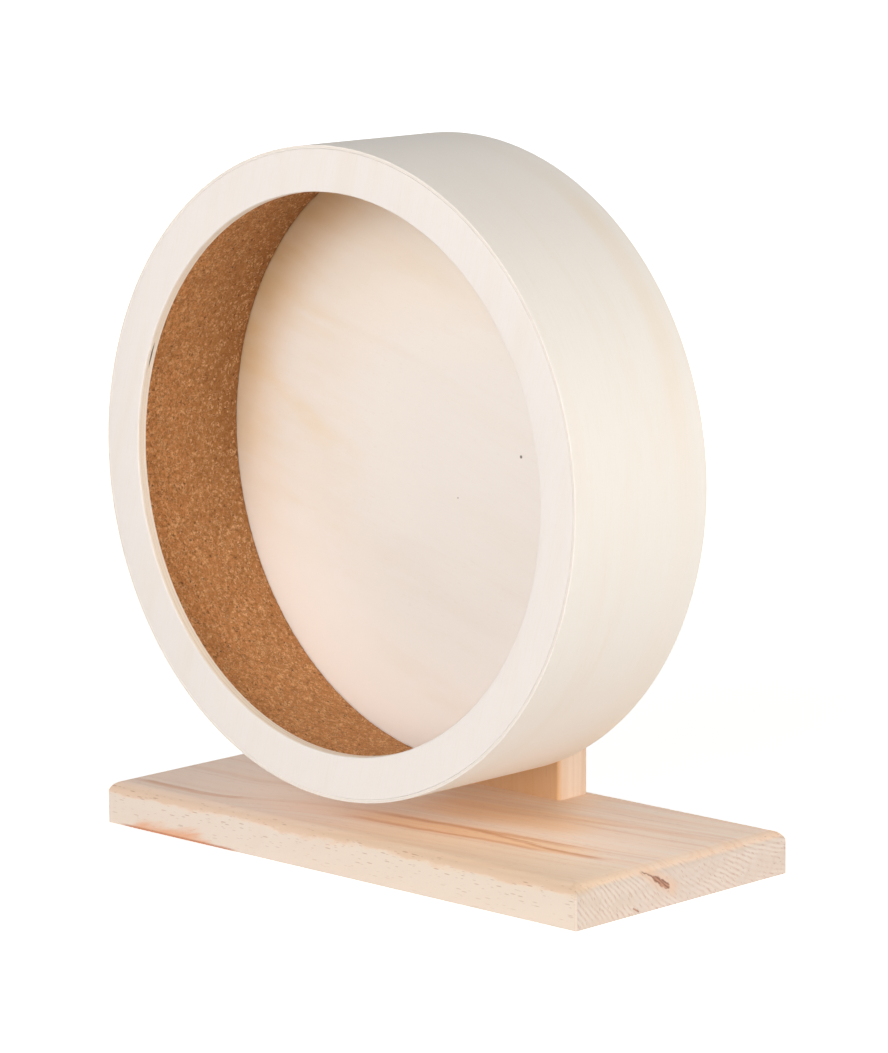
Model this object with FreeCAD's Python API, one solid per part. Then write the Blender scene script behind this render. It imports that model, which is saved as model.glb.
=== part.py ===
import FreeCAD, Part
import math
import os

# Wooden exercise wheel for rodents, a cork-lined drum that turns on a post and base board.
# Millimetres, +Z up. The origin is the centre of the base board's underside.
# The wheel turns about an axle along Y, and its open mouth faces -Y.

# Driving dimensions of the drum
wheel_diameter = 280.0
drum_depth = 81.0
rim_width = 19.7
ring_thickness = 5.0
ring_edge_radius = 0.6
band_thickness = 1.5
band_seam_angle = 200.0
band_seam_slant = 60.0
band_seam_gap = 0.2
cork_thickness = 3.0
cork_edge_gap = 0.3
cork_seam_angle = 20.0
cork_seam_gap = 0.4
rear_disc_thickness = 6.0
glue_line = 0.05

# Driving dimensions of the stand
base_length = 284.0
base_thickness = 19.0
base_edge_radius = 6.0
base_corner_radius = 1.0
wheel_setback = 2.0
wheel_clearance = 13.5
post_width = 67.0
post_thickness = 19.0
post_inset = 6.9
post_rise = 42.0
post_shoulder_radius = 18.0
post_edge_radius = 1.5

# Driving dimensions of the hub block
hub_diameter = 76.0
hub_edge_radius = 3.0
hub_lip_thickness = 2.0
hub_lip_width = 1.8
hub_running_gap = 1.0
hub_screw_count = 4
hub_screw_edge_distance = 11.0
hub_screw_bite = 3.6

# Driving dimensions of the axle bolt and what is threaded on it
axle_diameter = 8.0
axle_fit = 0.02
bolt_head_width = 13.0
bolt_head_height = 5.3
bolt_head_clearance = 0.4
bolt_tail = 2.3
bolt_end_chamfer = 1.0
hexagon_chamfer = 0.6
shim_thickness = 0.5
sleeve_wall = 2.0
washer_diameter = 24.0
washer_thickness = 1.6
washer_chamfer = 0.3
nut_width = 13.0
nut_height = 8.0
nut_collar_height = 2.4
nut_collar_wall = 0.9
nut_insert_thickness = 1.6
post_hole_clearance = 0.2

# Driving dimensions of the two ball bearings
bearing_diameter = 22.0
bearing_width = 7.0
bearing_chamfer = 0.3
bearing_seat_fit = 0.01
bearing_ring_gap = 3.4
ball_diameter = 3.9
ball_count = 7
groove_clearance = 0.1
pocket_clearance = 0.1
cage_wall = 1.8
cage_back = 2.6
cage_front = 1.0
shield_thickness = 0.3
shield_seat_depth = 0.9
shield_seat_step = 0.45
shield_flange = 0.7
shield_clearance = 0.25
shield_fit = 0.05

# Driving dimensions of the wood screws
hub_screw_diameter = 3.0
hub_screw_head = 6.0
post_screw_diameter = 5.0
post_screw_head = 9.6
post_screw_bite = 42.0
post_screw_spacing = 36.0
screw_head_rim = 0.4
screw_head_sink = 0.3
screw_hole_clearance = 0.05
screw_slot_share = 0.55
screw_slot_width = 0.9
screw_slot_depth = 1.1

# Radii of the drum
wheel_radius = wheel_diameter / 2
band_inner_radius = wheel_radius - band_thickness
panel_radius = band_inner_radius - glue_line
mouth_radius = wheel_radius - rim_width
cork_inner_radius = panel_radius - cork_thickness

# Radii of the bearings, from the bore outwards
bore_radius = axle_diameter / 2 + axle_fit
bearing_radius = bearing_diameter / 2
pitch_radius = (bore_radius + bearing_radius) / 2
inner_shoulder_radius = pitch_radius - bearing_ring_gap / 2
outer_shoulder_radius = pitch_radius + bearing_ring_gap / 2
shield_seat_radius = outer_shoulder_radius + shield_seat_step
ball_radius = ball_diameter / 2
groove_radius = ball_radius + groove_clearance

# Stations along the axle, counted back from the front edge of the base board
sleeve_length = hub_lip_thickness + hub_running_gap
axle_stack = bolt_head_clearance + bolt_head_height + shim_thickness + 2 * bearing_width
post_gap = axle_stack + sleeve_length + washer_thickness
base_depth = wheel_setback + drum_depth + post_gap + post_thickness + post_inset
drum_front = wheel_setback - base_depth / 2
ring_back = drum_front + ring_thickness
drum_back = drum_front + drum_depth
disc_front = drum_back - rear_disc_thickness
head_front = drum_back + bolt_head_clearance
head_back = head_front + bolt_head_height
front_bearing_start = head_back + shim_thickness
rear_bearing_start = front_bearing_start + bearing_width
bearings_end = rear_bearing_start + bearing_width
hub_back = bearings_end + hub_lip_thickness
sleeve_end = bearings_end + sleeve_length
post_front = sleeve_end + washer_thickness
post_back = post_front + post_thickness
nut_start = post_back + washer_thickness
nut_end = nut_start + nut_height
bolt_end = nut_end + bolt_tail
axle_height = base_thickness + wheel_clearance + wheel_radius
post_top = axle_height + post_rise

tolerance = 1e-4
along_x = FreeCAD.Vector(1, 0, 0)
along_y = FreeCAD.Vector(0, 1, 0)
along_z = FreeCAD.Vector(0, 0, 1)
axle_line = FreeCAD.Vector(0, 0, axle_height)


def on_wheel(radius, angle, y):
    """Point at a radius and an angle (degrees, from +X towards +Z) round the axle."""
    turn = math.radians(angle)
    return FreeCAD.Vector(radius * math.cos(turn), y, axle_height + radius * math.sin(turn))


def prism(corners, direction):
    """Closed polygon carried straight along a direction."""
    return Part.Face(Part.makePolygon(corners + corners[:1])).extrude(direction)


def turned(outline):
    """Turned solid: a closed outline of (radius, y) corners spun about the axle."""
    corners = [FreeCAD.Vector(0, y, axle_height + radius) for radius, y in outline]
    face = Part.Face(Part.makePolygon(corners + corners[:1]))
    return face.revolve(axle_line, along_y, 360)


def tube(inner_radius, outer_radius, start, end):
    """Plain ring about the axle."""
    return turned([(inner_radius, start), (outer_radius, start), (outer_radius, end), (inner_radius, end)])


def rod(radius, start, end):
    """Plain cylinder on the axle."""
    return Part.makeCylinder(radius, end - start, axle_line + along_y * start, along_y)


def rounded_rims(shape, radius, y, rounding):
    """Round the circular edges of one radius that lie at depth y."""
    rims = []
    for edge in shape.Edges:
        circle = isinstance(edge.Curve, Part.Circle) and abs(edge.Curve.Radius - radius) < tolerance
        if circle and abs(edge.CenterOfMass.y - y) < tolerance:
            rims.append(edge)
    return shape.makeFillet(rounding, rims)


def hexagon(width, start, end, chamfered):
    """Hexagon bar across flats, its corners turned down at 30 degrees at the listed ends."""
    corner_radius = width / math.sqrt(3)
    length = end - start
    slope = math.tan(math.radians(60))
    face_radius = corner_radius - hexagon_chamfer * slope
    bar = prism([on_wheel(corner_radius, 60 * k, start) for k in range(6)], along_y * length)
    for face, inwards in chamfered:
        far = face + inwards * length
        far_radius = face_radius + length * slope
        bar = bar.common(turned([(0, face), (face_radius, face), (far_radius, far), (0, far)]))
    return bar


def wood_screw(shank_diameter, head_diameter, length, clearance=0.0):
    """Countersunk screw along +Z with its head at z = 0; a clearance makes it the cutter of its own hole."""
    shank = shank_diameter / 2 + clearance
    head = head_diameter / 2 + clearance
    rim = screw_head_rim + clearance
    tip = length - shank_diameter
    outline = [
        (0, -clearance),
        (head, -clearance),
        (head, rim),
        (shank, rim + head - shank),
        (shank, tip),
        (0, length + clearance),
    ]
    corners = [FreeCAD.Vector(radius, 0, z) for radius, z in outline]
    face = Part.Face(Part.makePolygon(corners + corners[:1]))
    return face.revolve(FreeCAD.Vector(), along_z, 360)


def slotted(screw, head_diameter):
    """Cut the cross recess into a screw's head."""
    reach = head_diameter * screw_slot_share
    for length, width in ((reach, screw_slot_width), (screw_slot_width, reach)):
        corner = FreeCAD.Vector(-length / 2, -width / 2, 0)
        screw = screw.cut(Part.makeBox(length, width, screw_slot_depth, corner))
    return screw


def placed(shape, place):
    """Copy of a shape, moved to its place."""
    copy = shape.copy()
    copy.Placement = place.multiply(copy.Placement)
    return copy


# Places of the screws
def hub_screw_places():
    """Screws of the hub block: on a circle, heads at its back face, points towards the mouth."""
    radius = hub_diameter / 2 - hub_screw_edge_distance
    forwards = FreeCAD.Rotation(along_x, 90)
    angles = [(k + 0.5) * 360 / hub_screw_count for k in range(hub_screw_count)]
    heads = [on_wheel(radius, angle, hub_back - screw_head_sink) for angle in angles]
    return [FreeCAD.Placement(head, forwards) for head in heads]


def post_screw_places():
    """Screws of the post: side by side under it, heads in the base board's underside."""
    middle = (post_front + post_back) / 2
    offsets = (-post_screw_spacing / 2, post_screw_spacing / 2)
    upright = FreeCAD.Rotation()
    return [FreeCAD.Placement(FreeCAD.Vector(x, middle, screw_head_sink), upright) for x in offsets]


hub_screw_length = hub_back - screw_head_sink - drum_back + hub_screw_bite
post_screw_length = base_thickness - screw_head_sink + post_screw_bite


def screw_group(diameter, head, length, places):
    """All the screws of one joint, as separate solids."""
    screw = slotted(wood_screw(diameter, head, length), head)
    return Part.makeCompound([placed(screw, place) for place in places])


def screw_holes(diameter, head, length, places):
    """The holes that those screws sit in, with the countersink run out to the face."""
    hole = wood_screw(diameter, head, length, screw_hole_clearance)
    run_out = 2 * screw_head_sink
    mouth = Part.makeCylinder(head / 2 + screw_hole_clearance, run_out, FreeCAD.Vector(0, 0, -run_out))
    return [placed(hole.fuse(mouth), place) for place in places]


def make_hub_screws():
    """Screws that hold the hub block to the rear disc."""
    return screw_group(hub_screw_diameter, hub_screw_head, hub_screw_length, hub_screw_places())


def make_post_screws():
    """Screws that hold the post to the base board."""
    return screw_group(post_screw_diameter, post_screw_head, post_screw_length, post_screw_places())


def hub_screw_holes():
    """Holes through the hub block and into the rear disc."""
    return screw_holes(hub_screw_diameter, hub_screw_head, hub_screw_length, hub_screw_places())


def post_screw_holes():
    """Holes through the base board and into the post."""
    return screw_holes(post_screw_diameter, post_screw_head, post_screw_length, post_screw_places())


# Drum
def make_front_ring():
    """Plywood annulus: flush with the hoop in front, mouth edge eased on both sides."""
    ring = tube(mouth_radius, panel_radius, drum_front, ring_back)
    ring = rounded_rims(ring, mouth_radius, drum_front, ring_edge_radius)
    return rounded_rims(ring, mouth_radius, ring_back, ring_edge_radius)


def make_drum_band():
    """Bent hoop: one strip whose two bevelled ends meet at the seam."""
    hoop = tube(band_inner_radius, wheel_radius, drum_front, drum_back)
    middle = on_wheel(wheel_radius - band_thickness / 2, band_seam_angle, drum_front)
    slant = math.radians(band_seam_angle + band_seam_slant)
    along = FreeCAD.Vector(math.cos(slant), 0, math.sin(slant)) * (2 * band_thickness)
    across = FreeCAD.Vector(-math.sin(slant), 0, math.cos(slant)) * (band_seam_gap / 2)
    one_side = [middle + along + across, middle - along + across]
    other_side = [middle - along - across, middle + along - across]
    return hoop.cut(prism(one_side + other_side, along_y * drum_depth))


def make_cork_lining():
    """Cork strip between front ring and rear disc, with a square butt joint."""
    start = ring_back + cork_edge_gap
    end = disc_front - cork_edge_gap
    lining = tube(cork_inner_radius, panel_radius, start, end)
    half_gap = math.degrees(cork_seam_gap / 2 / panel_radius)
    reach = (cork_inner_radius - cork_thickness, panel_radius + cork_thickness)
    low = [on_wheel(radius, cork_seam_angle - half_gap, start) for radius in reach]
    high = [on_wheel(radius, cork_seam_angle + half_gap, start) for radius in reversed(reach)]
    return lining.cut(prism(low + high, along_y * (end - start)))


def make_rear_disc():
    """Plywood disc, flush with the back of the hoop, drilled blind for the hub screws."""
    disc = rod(panel_radius, disc_front, drum_back)
    return disc.cut(hub_screw_holes())


def make_hub_block():
    """Round wooden block: a bearing bore from the front, stopped by a lip at the back."""
    hub = rod(hub_diameter / 2, drum_back, hub_back)
    hub = rounded_rims(hub, hub_diameter / 2, hub_back, hub_edge_radius)
    seat = rod(bearing_radius + bearing_seat_fit, drum_back, bearings_end)
    lip = rod(bearing_radius - hub_lip_width, bearings_end, hub_back)
    return hub.cut([seat, lip] + hub_screw_holes())


# Ball bearing
def groove(start):
    """Ball track shared by both rings: a torus at mid width."""
    middle = axle_line + along_y * (start + bearing_width / 2)
    return Part.makeTorus(pitch_radius, groove_radius, middle, along_y)


def make_outer_ring(start):
    """Outer ring with a seat for a shield at each side."""
    end = start + bearing_width
    outline = [
        (shield_seat_radius, start),
        (bearing_radius - bearing_chamfer, start),
        (bearing_radius, start + bearing_chamfer),
        (bearing_radius, end - bearing_chamfer),
        (bearing_radius - bearing_chamfer, end),
        (shield_seat_radius, end),
        (shield_seat_radius, end - shield_seat_depth),
        (outer_shoulder_radius, end - shield_seat_depth),
        (outer_shoulder_radius, start + shield_seat_depth),
        (shield_seat_radius, start + shield_seat_depth),
    ]
    return turned(outline).cut(groove(start))


def make_inner_ring(start):
    """Inner ring, its bore eased at both ends."""
    end = start + bearing_width
    outline = [
        (bore_radius + bearing_chamfer, start),
        (inner_shoulder_radius, start),
        (inner_shoulder_radius, end),
        (bore_radius + bearing_chamfer, end),
        (bore_radius, end - bearing_chamfer),
        (bore_radius, start + bearing_chamfer),
    ]
    return turned(outline).cut(groove(start))


def make_shields(start):
    """Two pressed shields, each with its flange in the outer ring and its face dished outwards."""
    inner = inner_shoulder_radius + shield_clearance
    outer = shield_seat_radius - shield_fit
    neck = outer - shield_flange
    seat = shield_seat_depth - shield_fit
    face = seat - shield_thickness
    shields = []
    for origin, inwards in ((start, 1), (start + bearing_width, -1)):
        outline = [
            (inner, face - shield_thickness),
            (neck, face - shield_thickness),
            (neck + shield_thickness, face),
            (outer, face),
            (outer, seat),
            (neck, seat),
            (neck - shield_thickness, face),
            (inner, face),
        ]
        shields.append(turned([(radius, origin + inwards * depth) for radius, depth in outline]))
    return Part.makeCompound(shields)


def ball_centres(start):
    """Ball centres, evenly spaced on the pitch circle from its top."""
    middle = start + bearing_width / 2
    return [on_wheel(pitch_radius, 90 + 360 * k / ball_count, middle) for k in range(ball_count)]


def make_balls(start):
    """The balls of one bearing."""
    centres = ball_centres(start)
    return Part.makeCompound([Part.makeSphere(ball_radius, centre, along_y) for centre in centres])


def make_cage(start):
    """Crown cage: a ring with a round pocket for each ball, open on one side."""
    middle = start + bearing_width / 2
    half_wall = cage_wall / 2
    crown = tube(pitch_radius - half_wall, pitch_radius + half_wall, middle - cage_back, middle + cage_front)
    pocket_radius = ball_radius + pocket_clearance
    pockets = [Part.makeSphere(pocket_radius, centre, along_y) for centre in ball_centres(start)]
    return crown.cut(pockets)


# Axle
def make_axle_bolt():
    """Hexagon-head bolt with a chamfered end."""
    radius = axle_diameter / 2
    head = hexagon(bolt_head_width, head_front, head_back, [(head_front, 1)])
    shank = turned([
        (0, head_back),
        (radius, head_back),
        (radius, bolt_end - bolt_end_chamfer),
        (radius - bolt_end_chamfer, bolt_end),
        (0, bolt_end),
    ])
    return head.fuse(shank).removeSplitter()


def make_washer(start):
    """Plain washer, its outer edge eased on both sides."""
    radius = washer_diameter / 2
    end = start + washer_thickness
    return turned([
        (bore_radius, start),
        (radius - washer_chamfer, start),
        (radius, start + washer_chamfer),
        (radius, end - washer_chamfer),
        (radius - washer_chamfer, end),
        (bore_radius, end),
    ])


def make_lock_nut():
    """Hexagon nut with a round collar that holds the nylon ring."""
    shoulder = nut_end - nut_collar_height
    body = hexagon(nut_width, nut_start, shoulder, [(nut_start, 1), (shoulder, -1)])
    collar_radius = nut_width / 2 - hexagon_chamfer
    collar = rounded_rims(rod(collar_radius, shoulder, nut_end), collar_radius, nut_end, nut_collar_wall)
    nut = body.fuse(collar).removeSplitter()
    pocket = rod(collar_radius - nut_collar_wall, nut_end - nut_collar_wall - nut_insert_thickness, nut_end)
    return nut.cut([rod(bore_radius, nut_start, nut_end), pocket])


def make_lock_nut_insert():
    """Nylon ring inside the collar, gripping the bolt."""
    outer = nut_width / 2 - hexagon_chamfer - nut_collar_wall - axle_fit
    end = nut_end - nut_collar_wall
    return tube(bore_radius, outer, end - nut_insert_thickness, end)


# Stand
def make_base_board():
    """Pine board: rounded over along all four top edges, with nearly sharp upright corners."""
    half_length = base_length / 2
    half_depth = base_depth / 2
    corner = FreeCAD.Vector(-half_length, -half_depth, 0)
    board = Part.makeBox(base_length, base_depth, base_thickness, corner)
    uprights = [edge for edge in board.Edges if abs(edge.tangentAt(0).z) > 0.5]
    board = board.makeFillet(base_corner_radius, uprights)
    board = board.common(rounded_over(half_depth, base_length, along_y, along_x))
    board = board.common(rounded_over(half_length, base_depth, along_x, along_y))
    return board.cut(post_screw_holes())


def rounded_over(half_width, run, sideways, along):
    """Board section with both top corners rounded, carried along the board."""
    bend = base_edge_radius
    slack = bend * (1 - math.sqrt(0.5))

    def at(side, height):
        return sideways * side + along_z * height - along * (run / 2)

    left = -half_width
    right = half_width
    top = base_thickness
    right_arc = Part.Arc(at(right, top - bend), at(right - slack, top - slack), at(right - bend, top))
    left_arc = Part.Arc(at(left + bend, top), at(left + slack, top - slack), at(left, top - bend))
    edges = [
        Part.makeLine(at(left, 0), at(right, 0)),
        Part.makeLine(at(right, 0), at(right, top - bend)),
        right_arc.toShape(),
        Part.makeLine(at(right - bend, top), at(left + bend, top)),
        left_arc.toShape(),
        Part.makeLine(at(left, top - bend), at(left, 0)),
    ]
    return Part.Face(Part.Wire(edges)).extrude(along * run)


def make_post():
    """Pine upright with rounded shoulders and eased edges, bored for the axle."""
    size = (post_width, post_thickness, post_top - base_thickness)
    post = Part.makeBox(*size, FreeCAD.Vector(-post_width / 2, post_front, base_thickness))
    top_edges = [edge for edge in post.Edges if abs(edge.CenterOfMass.z - post_top) < tolerance]
    shoulders = [edge for edge in top_edges if abs(edge.CenterOfMass.x) > tolerance]
    post = post.makeFillet(post_shoulder_radius, shoulders)
    outline = [edge for edge in post.Edges if edge.BoundBox.YLength < tolerance]
    arrises = [edge for edge in outline if edge.BoundBox.ZMax > base_thickness + tolerance]
    post = post.makeFillet(post_edge_radius, arrises)
    hole = rod(bore_radius + post_hole_clearance, post_front, post_back)
    return post.cut([hole] + post_screw_holes())


# Every piece, under the name of its file
pieces = {
    "front_ring": make_front_ring(),
    "drum_band": make_drum_band(),
    "cork_lining": make_cork_lining(),
    "rear_disc": make_rear_disc(),
    "hub_block": make_hub_block(),
    "hub_screws": make_hub_screws(),
    "axle_bolt": make_axle_bolt(),
    "head_shim": tube(bore_radius, inner_shoulder_radius, head_back, front_bearing_start),
    "spacer_sleeve": tube(bore_radius, bore_radius + sleeve_wall, bearings_end, sleeve_end),
    "post_front_washer": make_washer(sleeve_end),
    "post_rear_washer": make_washer(post_back),
    "lock_nut": make_lock_nut(),
    "lock_nut_insert": make_lock_nut_insert(),
    "base_board": make_base_board(),
    "post": make_post(),
    "post_screws": make_post_screws(),
}
for side, start in (("front", front_bearing_start), ("rear", rear_bearing_start)):
    pieces[side + "_bearing_outer_ring"] = make_outer_ring(start)
    pieces[side + "_bearing_inner_ring"] = make_inner_ring(start)
    pieces[side + "_bearing_shields"] = make_shields(start)
    pieces[side + "_bearing_cage"] = make_cage(start)
    pieces[side + "_bearing_balls"] = make_balls(start)

os.makedirs("parts", exist_ok=True)
for name, shape in pieces.items():
    shape.exportStep("parts/" + name + ".step")
    print(name, "solids", len(shape.Solids), "valid", shape.isValid(), "volume", round(shape.Volume, 1))
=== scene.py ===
import math

import bpy
import numpy as np
from mathutils import Matrix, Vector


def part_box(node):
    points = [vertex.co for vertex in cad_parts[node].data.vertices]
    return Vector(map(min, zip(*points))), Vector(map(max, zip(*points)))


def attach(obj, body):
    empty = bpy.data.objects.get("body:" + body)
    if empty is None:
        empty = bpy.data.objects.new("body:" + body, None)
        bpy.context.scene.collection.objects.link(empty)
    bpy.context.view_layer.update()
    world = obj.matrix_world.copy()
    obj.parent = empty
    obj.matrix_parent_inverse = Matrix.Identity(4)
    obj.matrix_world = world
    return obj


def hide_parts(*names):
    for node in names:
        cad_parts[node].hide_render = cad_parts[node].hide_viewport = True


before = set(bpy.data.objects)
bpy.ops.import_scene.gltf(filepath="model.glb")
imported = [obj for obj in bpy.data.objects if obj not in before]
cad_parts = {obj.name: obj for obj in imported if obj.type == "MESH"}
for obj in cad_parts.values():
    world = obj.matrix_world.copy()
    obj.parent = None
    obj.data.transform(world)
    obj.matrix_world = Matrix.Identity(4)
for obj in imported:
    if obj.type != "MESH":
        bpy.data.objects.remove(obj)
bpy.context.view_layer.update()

# Wooden exercise wheel for rodents: a cork-lined plywood drum that turns on a pine post and board.
# Metres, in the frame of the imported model: +Z up, the axle along Y, the open mouth facing -Y.
# Patterns in the finishes are in millimetres; their colours are as seen, 0 to 255.
mm = 0.001

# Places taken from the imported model
drum_low, drum_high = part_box("drum_band")
ring_low, ring_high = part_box("front_ring")
cork_low, cork_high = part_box("cork_lining")
disc_low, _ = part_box("rear_disc")
board_low, board_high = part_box("base_board")
post_low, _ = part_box("post")
bolt_low, bolt_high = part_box("axle_bolt")
axle_height = (drum_low.z + drum_high.z) / 2
wheel_radius = (drum_high.z - drum_low.z) / 2
panel_radius = (ring_high.z - ring_low.z) / 2

# Sizes of the drum's pieces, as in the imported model
mouth_radius = 120.3 * mm
ring_edge_radius = 0.6 * mm
ring_outer_easing = 0.08 * mm
band_thickness = 1.5 * mm
band_edge_radius = 0.25 * mm
band_seam_angle = math.radians(200)
band_seam_slant = math.radians(60)
band_seam_gap = 0.2 * mm
cork_thickness = 3.0 * mm
cork_seam_angle = math.radians(20)
cork_seam_gap = 0.4 * mm

# Sizes of the axle bolt
axle_radius = 4.0 * mm
bolt_head_width = 13.0 * mm
bolt_head_height = 5.3 * mm
bolt_end_chamfer = 1.0 * mm
thread_pitch = 1.25 * mm
thread_depth = 0.65 * mm
thread_length = 22.0 * mm
thread_steepness, thread_flat = 1.25, 0.12
thread_rows_per_turn = 14
head_cone_start = 0.94
head_cone_slope = 1.7
head_cone_depth = 1.2 * mm

# Camera, found by lining the model up with the photograph
image_height = 1053
focal_pixels = 4712.6
view_azimuth = 43.949
view_elevation = 9.873
view_roll = -0.313
view_distance = 1.9917
view_shift_right = 0.04798
view_shift_up = -0.02121
sensor_size = 36.0
clip_near, clip_far = 0.05, 50.0


def facing(azimuth, elevation):
    """Unit vector from the object towards a viewer, azimuth from -Y towards +X, in degrees."""
    turn, lift = math.radians(azimuth), math.radians(elevation)
    return np.array([math.sin(turn) * math.cos(lift), -math.cos(turn) * math.cos(lift), math.sin(lift)])


def stand(name, data, spot, back, roll=0.0):
    """Object that looks along minus back, level but for its roll, standing at spot."""
    level = np.cross([0.0, 0.0, 1.0], back)
    level /= np.linalg.norm(level)
    upright = np.cross(back, level)
    right = math.cos(roll) * level + math.sin(roll) * upright
    up = math.cos(roll) * upright - math.sin(roll) * level
    axes = Matrix(np.column_stack([right, up, back]).tolist()).to_4x4()
    axes.translation = (spot(right, up) if callable(spot) else spot).tolist()
    holder = bpy.data.objects.new(name, data)
    holder.matrix_world = axes
    bpy.context.collection.objects.link(holder)
    return holder


def place_camera():
    """Camera on a line from the middle of the drum's front, moved a little in its own plane."""
    lens = bpy.data.cameras.new("camera")
    lens.sensor_fit = "VERTICAL"
    lens.sensor_height = sensor_size
    lens.sensor_width = sensor_size
    lens.lens = focal_pixels / image_height * sensor_size
    lens.clip_start = clip_near
    lens.clip_end = clip_far
    back = facing(view_azimuth, view_elevation)
    aim = np.array([0.0, drum_low.y, axle_height])

    def spot(right, up):
        return aim + back * view_distance + right * view_shift_right + up * view_shift_up

    bpy.context.scene.camera = stand("camera", lens, spot, back, math.radians(view_roll))


# Surfaces
sharp_edge = math.radians(45)


def surface(name, points, ring_rows=False, ring_columns=False, lengths=None):
    """Mesh from a grid of points, one quad per grid cell; rows and columns may close on themselves.

    Open rows of closed columns are a section carried along a path, and get a flat face at each end.
    lengths are two grids of distances along the surface, kept as the piece's UV map.
    """
    rows, columns = points.shape[:2]
    row = np.arange(rows if ring_rows else rows - 1)[:, None]
    column = np.arange(columns if ring_columns else columns - 1)[None, :]
    next_row, next_column = (row + 1) % rows, (column + 1) % columns
    corners = [(row, column), (next_row, column), (next_row, next_column), (row, next_column)]
    quads = np.stack([(r * columns + c) for r, c in corners], axis=-1).reshape(-1, 4)
    corner = points.reshape(-1, 3)[quads]
    swept = np.cross(corner[:, 2] - corner[:, 0], corner[:, 3] - corner[:, 1])
    centred = corner.mean(axis=1) - points.reshape(-1, 3).mean(axis=0)
    inside_out = (swept * centred).sum() < 0
    loops = quads.ravel()
    starts = np.arange(0, quads.size, 4)
    if ring_columns and not ring_rows:
        ends = np.concatenate([np.arange(columns)[::-1], np.arange(columns) + (rows - 1) * columns])
        starts = np.concatenate([starts, [loops.size, loops.size + columns]])
        loops = np.concatenate([loops, ends])
    mesh = bpy.data.meshes.new(name)
    mesh.vertices.add(rows * columns)
    mesh.vertices.foreach_set("co", points.astype(np.float32).ravel())
    mesh.loops.add(loops.size)
    mesh.loops.foreach_set("vertex_index", loops.astype(np.int32))
    mesh.polygons.add(starts.size)
    mesh.polygons.foreach_set("loop_start", starts.astype(np.int32))
    if lengths is not None:
        chart = np.stack([values.reshape(-1)[loops] for values in lengths], axis=-1)
        mesh.uv_layers.new(name="strip").data.foreach_set("uv", chart.astype(np.float32).ravel())
    mesh.update(calc_edges=True)
    mesh.validate()
    if inside_out:
        mesh.flip_normals()
    mesh.shade_smooth()
    mesh.set_sharp_from_angle(angle=sharp_edge)
    piece = bpy.data.objects.new(name, mesh)
    bpy.context.collection.objects.link(piece)
    return piece


def about_axle(radius, angle, y):
    """Points at radius and angle round the axle line, the angle counted from +X towards +Z."""
    across = radius * np.cos(angle)
    along = y + 0 * across
    return np.stack([across, along, axle_height + radius * np.sin(angle)], axis=-1)


def quarter_round(centre_radius, centre_y, radius, start, end, steps=6):
    """Arc of a section from one angle to another, in degrees: (distances from the axle, places along it)."""
    turn = np.radians(np.linspace(start, end, steps))
    return centre_radius + radius * np.cos(turn), centre_y + radius * np.sin(turn)


def section(*runs):
    """Joins runs of a section, each a pair (distances from the axle, places along it), into one outline."""
    radii = np.concatenate([np.atleast_1d(radius + 0 * np.asarray(y)) for radius, y in runs])
    places = np.concatenate([np.atleast_1d(y + 0 * np.asarray(radius)) for radius, y in runs])
    return radii, places


table_size = 256


def granules(along, across, size, seed):
    """Cell noise: distance, in cells, from each point to the nearest of the points scattered one per cell."""
    table = np.random.default_rng(seed).random((table_size, table_size, 2))
    u, v = along / size, across / size
    nearest = np.full(np.broadcast(u, v).shape, 9.0)
    for step_u in (-1, 0, 1):
        for step_v in (-1, 0, 1):
            cell_u, cell_v = np.floor(u) + step_u, np.floor(v) + step_v
            jitter = table[cell_u.astype(int) % table_size, cell_v.astype(int) % table_size]
            away = np.hypot(cell_u + jitter[..., 0] - u, cell_v + jitter[..., 1] - v)
            nearest = np.minimum(nearest, away)
    return nearest


def ripple(along, across, size, seed):
    """Value noise from 0 to 1: random heights on a square lattice, blended smoothly between its points."""
    table = np.random.default_rng(seed).random((table_size, table_size))
    u, v = np.broadcast_arrays(along / size, across / size)
    cell_u, cell_v = np.floor(u).astype(int), np.floor(v).astype(int)
    share_u, share_v = u - cell_u, v - cell_v
    share_u, share_v = share_u**2 * (3 - 2 * share_u), share_v**2 * (3 - 2 * share_v)
    near_u, far_u = cell_u % table_size, (cell_u + 1) % table_size
    near_v, far_v = cell_v % table_size, (cell_v + 1) % table_size
    low = table[near_u, near_v] * (1 - share_u) + table[far_u, near_v] * share_u
    high = table[near_u, far_v] * (1 - share_u) + table[far_u, far_v] * share_u
    return low * (1 - share_v) + high * share_v


cork_crumble = 0.25 * mm
cork_crumble_size = 0.9 * mm
cork_crumble_middle = 0.6
coarse_granule, coarse_pit = 2.6 * mm, 0.16 * mm
fine_granule, fine_pit = 1.3 * mm, 0.08 * mm
cork_wear_reach, cork_wear_depth = 1.2 * mm, 0.5 * mm


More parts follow.
